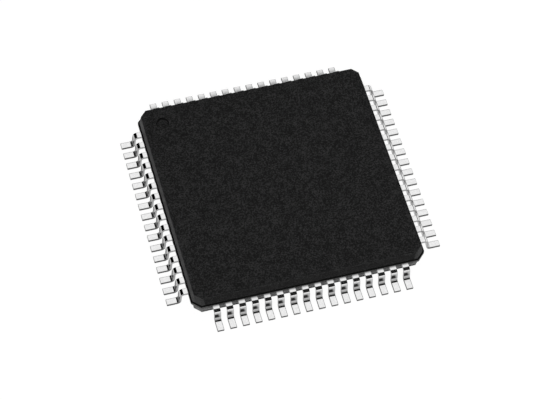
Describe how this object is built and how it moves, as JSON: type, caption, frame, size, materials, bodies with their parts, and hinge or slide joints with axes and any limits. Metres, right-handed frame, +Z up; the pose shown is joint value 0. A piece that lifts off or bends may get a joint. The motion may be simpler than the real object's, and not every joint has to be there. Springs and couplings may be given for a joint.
{
  "type": "quad flat pack chip",
  "caption": "Square black moulded integrated circuit package, surface mounted, with rows of bent gull-wing leads on all four sides and a round pin-one dimple in a corner of its top.",
  "frame": {"origin": "on the seating plane under the feet of the leads, under the middle of the body", "axes": "+Z up out of the top face, the pin-one dimple in the corner at -X and +Y, rows of leads along X and Y"},
  "size_m": [0.0142, 0.0142, 0.0014],
  "materials": {
    "mould_compound": "matt",
    "tinned_leads": "satin",
    "bare_copper_alloy": "satin",
    "silver_epoxy": "satin",
    "silicon": "polished",
    "gold_wire": "polished"
  },
  "bodies": {
    "root": {"moulded_body": "mould_compound", "die_pad": "bare_copper_alloy", "die_attach": "silver_epoxy", "silicon_die": "silicon", "leads_01_to_04": "tinned_leads", "leads_05_to_08": "tinned_leads", "leads_09_to_12": "tinned_leads", "leads_13_to_16": "tinned_leads", "leads_17_to_20": "tinned_leads", "leads_21_to_24": "tinned_leads", "leads_25_to_28": "tinned_leads", "leads_29_to_32": "tinned_leads", "leads_33_to_36": "tinned_leads", "leads_37_to_40": "tinned_leads", "leads_41_to_44": "tinned_leads", "leads_45_to_48": "tinned_leads", "leads_49_to_52": "tinned_leads", "leads_53_to_56": "tinned_leads", "leads_57_to_60": "tinned_leads", "leads_61_to_64": "tinned_leads", "bond_wires_01_to_04": "gold_wire", "bond_wires_05_to_08": "gold_wire", "bond_wires_09_to_12": "gold_wire", "bond_wires_13_to_16": "gold_wire", "bond_wires_17_to_20": "gold_wire", "bond_wires_21_to_24": "gold_wire", "bond_wires_25_to_28": "gold_wire", "bond_wires_29_to_32": "gold_wire", "bond_wires_33_to_36": "gold_wire", "bond_wires_37_to_40": "gold_wire", "bond_wires_41_to_44": "gold_wire", "bond_wires_45_to_48": "gold_wire", "bond_wires_49_to_52": "gold_wire", "bond_wires_53_to_56": "gold_wire", "bond_wires_57_to_60": "gold_wire", "bond_wires_61_to_64": "gold_wire"}
  },
  "joints": []
}
